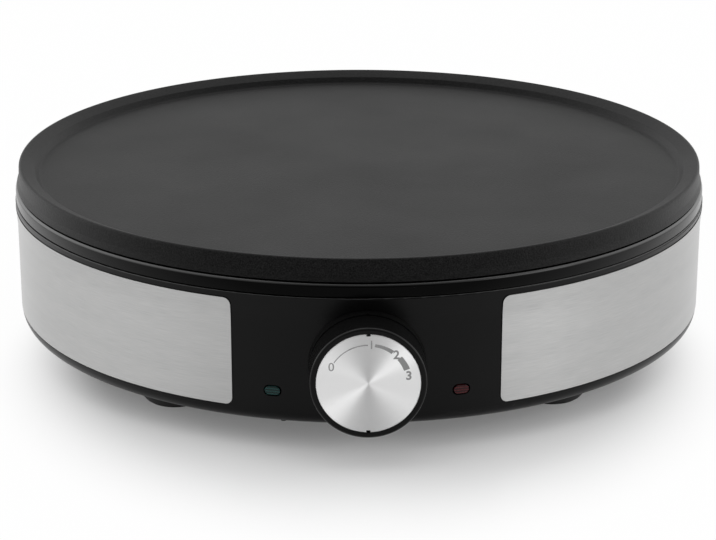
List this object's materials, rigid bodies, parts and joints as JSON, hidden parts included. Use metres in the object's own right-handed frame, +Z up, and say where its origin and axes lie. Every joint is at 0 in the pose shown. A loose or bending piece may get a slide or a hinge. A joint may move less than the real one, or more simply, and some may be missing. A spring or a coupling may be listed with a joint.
{
  "type": "electric crepe maker",
  "caption": "Low round electric crepe maker: dished black plate with a raised rim on a black drum with brushed steel side panels, a turning thermostat knob and two indicator lenses.",
  "frame": {"origin": "centre of the cooking surface, on the drum's axis; the feet stand on the plane 74.3 mm below it", "axes": "+Z up out of the cooking surface, -Y towards the knob at the front, +X to the right as seen from the front"},
  "size_m": [0.3042, 0.3227, 0.0794],
  "materials": {
    "nonstick_cast_aluminium": "cast aluminium with a matt black non-stick coating",
    "black_gloss_plastic": "satin to gloss black moulded heat-resistant plastic",
    "black_matt_plastic": "fine matt black moulded plastic",
    "brushed_steel": "stainless steel, brushed round the drum",
    "spun_aluminium": "spun aluminium with fine circular lines",
    "aluminised_steel": "pressed aluminised sheet",
    "element_sheath": "dark annealed tube",
    "zinc_steel": "zinc plated",
    "brass": "turned brass",
    "white_ceramic": "unglazed steatite",
    "foot_rubber": "matt black rubber",
    "green_lens": "clear tinted lens, unlit",
    "red_lens": "clear tinted lens, unlit",
    "lamp_glass": "clear neon bulb",
    "lead_sleeve": "silicone sleeve"
  },
  "bodies": {
    "base": {"baking_plate": "nonstick_cast_aluminium", "heating_element": "element_sheath", "element_pins": "zinc_steel", "heat_shield": "aluminised_steel", "shield_washers": "white_ceramic", "upper_ring": "black_gloss_plastic", "ring_screws": "zinc_steel", "housing": "black_gloss_plastic", "steel_panel_right": "brushed_steel", "steel_panel_left": "brushed_steel", "base_cover": "black_matt_plastic", "foot_front_left": "foot_rubber", "foot_front_right": "foot_rubber", "foot_rear_left": "foot_rubber", "foot_rear_right": "foot_rubber", "base_screws": "zinc_steel", "plate_screws": "zinc_steel", "machine_screws": "zinc_steel", "thermostat_bracket": "aluminised_steel", "thermostat_body": "white_ceramic", "thermostat_tabs": "brass", "thermostat_bush": "brass", "thermostat_nut": "brass", "indicator_lens_green": "green_lens", "indicator_lens_red": "red_lens", "indicator_lamp_green": "lamp_glass", "indicator_lamp_red": "lamp_glass", "thermal_fuse": "zinc_steel", "fuse_clip": "aluminised_steel", "earth_tag": "brass", "terminal_block": "white_ceramic", "terminal_screws": "zinc_steel", "lead_live": "lead_sleeve", "lead_neutral": "lead_sleeve", "lead_fuse_in": "lead_sleeve", "lead_fuse_out": "lead_sleeve", "lead_earth": "lead_sleeve", "cord_gland": "foot_rubber"},
    "knob_group": {"knob": "black_gloss_plastic", "knob_disc": "spun_aluminium", "knob_clip": "zinc_steel", "thermostat_spindle": "zinc_steel"}
  },
  "joints": [
    {"name": "knob_turn", "type": "hinge", "parent": "base", "child": "knob_group", "pos_m": [0, -0.156, -0.0385], "axis": [0, -1, 0], "range_deg": [-65, 79]}
  ]
}
